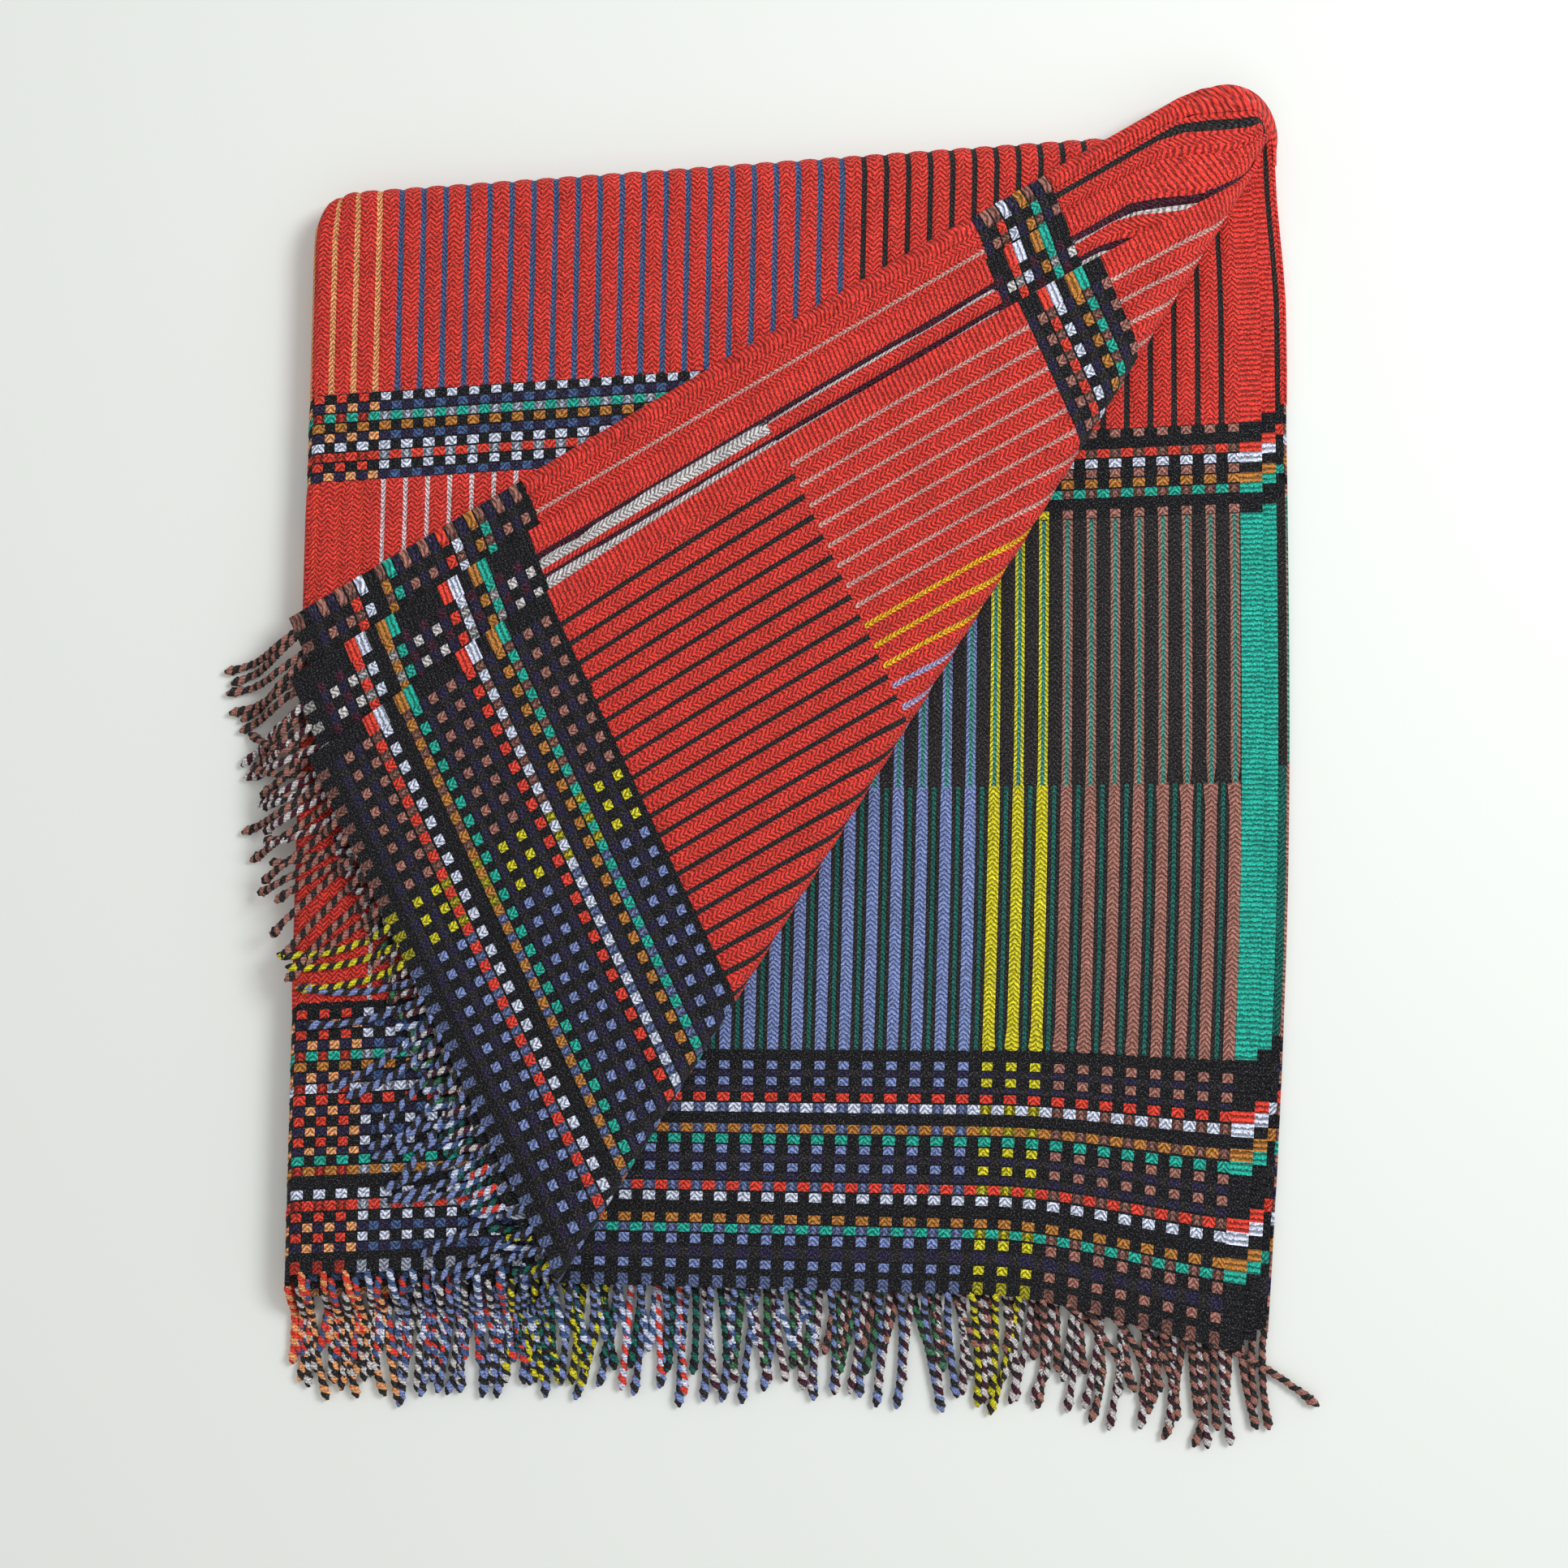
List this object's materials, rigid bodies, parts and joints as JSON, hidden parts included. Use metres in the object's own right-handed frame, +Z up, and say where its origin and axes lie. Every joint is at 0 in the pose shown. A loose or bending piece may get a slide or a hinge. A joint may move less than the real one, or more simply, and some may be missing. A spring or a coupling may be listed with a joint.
{
  "type": "folded throw blanket",
  "caption": "Fringed wool throw with coloured block-weave bands, folded flat into a rectangular stack with one corner of its upper half turned back.",
  "frame": {"origin": "on the surface that the folded throw rests on, at the middle of its outline", "axes": "+Z up from the underside, +Y towards the crosswise fold, +X to the right of someone facing that fold"},
  "size_m": [0.4235, 0.497, 0.0237],
  "materials": {
    "woven_cloth": "block-woven lambswool, red, teal and charcoal, lightly brushed",
    "fringe_yarn": "two-strand twisted lambswool cords"
  },
  "bodies": {
    "lower_half": {"lower_ply_1": "woven_cloth", "lower_ply_2": "woven_cloth", "lower_ply_3": "woven_cloth", "lower_ply_4": "woven_cloth", "lower_left_outer_fold": "woven_cloth", "lower_left_inner_fold": "woven_cloth", "lower_right_fold": "woven_cloth", "top_fold_1": "woven_cloth", "top_fold_2": "woven_cloth", "top_fold_3": "woven_cloth", "top_fold_4": "woven_cloth", "corner_turn": "woven_cloth", "lower_fringe_1": "fringe_yarn", "lower_fringe_2": "fringe_yarn", "lower_fringe_3": "fringe_yarn", "lower_fringe_4": "fringe_yarn"},
    "upper_half": {"upper_ply_1": "woven_cloth", "upper_ply_2": "woven_cloth", "upper_ply_3": "woven_cloth", "upper_ply_4": "woven_cloth", "upper_left_outer_fold": "woven_cloth", "upper_left_inner_fold": "woven_cloth", "diagonal_fold_1": "woven_cloth", "diagonal_fold_2": "woven_cloth", "diagonal_fold_3": "woven_cloth", "diagonal_fold_4": "woven_cloth", "upper_fringe_1": "fringe_yarn", "upper_fringe_2": "fringe_yarn", "upper_fringe_3": "fringe_yarn", "upper_fringe_4": "fringe_yarn"},
    "turned_corner": {"corner_ply_1": "woven_cloth", "corner_ply_2": "woven_cloth", "corner_ply_3": "woven_cloth", "corner_ply_4": "woven_cloth", "corner_right_fold": "woven_cloth", "corner_fringe_1": "fringe_yarn", "corner_fringe_2": "fringe_yarn", "corner_fringe_3": "fringe_yarn", "corner_fringe_4": "fringe_yarn"}
  },
  "joints": [
    {"name": "top_fold", "type": "hinge", "parent": "lower_half", "child": "upper_half", "pos_m": [-0.1699, 0.2016, 0.00785], "axis": [-0.9974, -0.0717, 0], "range_deg": [0, 178], "deforming": ["top_fold_1", "top_fold_2", "top_fold_3", "top_fold_4", "corner_turn"]},
    {"name": "corner_fold", "type": "hinge", "parent": "upper_half", "child": "turned_corner", "pos_m": [0.16448, 0.22564, 0.01585], "axis": [0.5308, 0.8475, 0], "range_deg": [0, 178], "deforming": ["diagonal_fold_1", "diagonal_fold_2", "diagonal_fold_3", "diagonal_fold_4"]}
  ]
}
